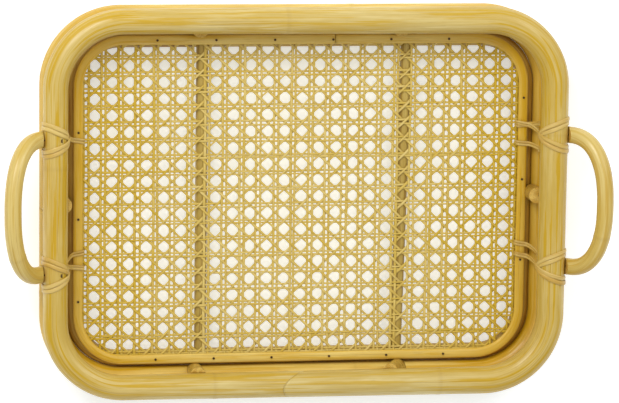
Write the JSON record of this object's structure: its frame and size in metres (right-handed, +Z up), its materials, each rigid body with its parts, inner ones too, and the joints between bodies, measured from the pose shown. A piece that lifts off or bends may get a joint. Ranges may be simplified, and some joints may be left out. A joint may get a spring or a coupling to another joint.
{
  "type": "serving tray",
  "caption": "Rectangular rattan serving tray: pole rims one above the other on pegs, woven cane floor, and raised bentwood handles lashed with peel at both ends.",
  "frame": {"origin": "on the table, under the middle of the tray", "axes": "+X to the right handle, +Y to the back of the tray, +Z up"},
  "size_m": [0.4496, 0.29, 0.0745],
  "materials": {
    "pole": "clear satin lacquer on golden rattan pole",
    "handle_pole": "clear satin lacquer on pale rattan pole",
    "trim_strip": "clear satin lacquer on split rattan",
    "cane": "satin woven cane strands",
    "peel": "satin rattan peel",
    "peg": "lacquered end grain",
    "nail": "dark oxidised wire nail"
  },
  "bodies": {
    "root": {"top_rim": "pole", "base_ring": "pole", "web_frame": "pole", "web_trim": "trim_strip", "cane_webbing": "cane", "cross_bar_left": "pole", "cross_bar_right": "pole", "spacer_front_left": "peg", "spacer_nail_front_left": "nail", "spacer_front_right": "peg", "spacer_nail_front_right": "nail", "spacer_back_left": "peg", "spacer_nail_back_left": "nail", "spacer_back_right": "peg", "spacer_nail_back_right": "nail", "spacer_left": "peg", "spacer_nail_left": "nail", "spacer_right": "peg", "spacer_nail_right": "nail", "handle_right": "handle_pole", "handle_pin_right_front": "nail", "handle_pin_right_back": "nail", "handle_lashing_right_front": "peel", "floor_tie_right_front": "peel", "handle_lashing_right_back": "peel", "floor_tie_right_back": "peel", "floor_tie_right_back_2": "peel", "handle_left": "handle_pole", "handle_pin_left_back": "nail", "handle_pin_left_front": "nail", "handle_lashing_left_back": "peel", "floor_tie_left_back": "peel", "handle_lashing_left_front": "peel", "floor_tie_left_front": "peel", "bar_nail_left_front": "nail", "bar_nail_left_back": "nail", "bar_nail_right_front": "nail", "bar_nail_right_back": "nail", "frame_nail_front": "nail", "frame_nail_back": "nail", "frame_nail_left": "nail", "frame_nail_right": "nail", "trim_nail_front_1": "nail", "trim_nail_front_2": "nail", "trim_nail_front_3": "nail", "trim_nail_front_4": "nail", "trim_nail_front_5": "nail", "trim_nail_front_6": "nail", "trim_nail_back_1": "nail", "trim_nail_back_2": "nail", "trim_nail_back_3": "nail", "trim_nail_back_4": "nail", "trim_nail_back_5": "nail", "trim_nail_back_6": "nail", "trim_nail_left_1": "nail", "trim_nail_left_2": "nail", "trim_nail_left_3": "nail", "trim_nail_right_1": "nail", "trim_nail_right_2": "nail", "trim_nail_right_3": "nail"}
  },
  "joints": []
}
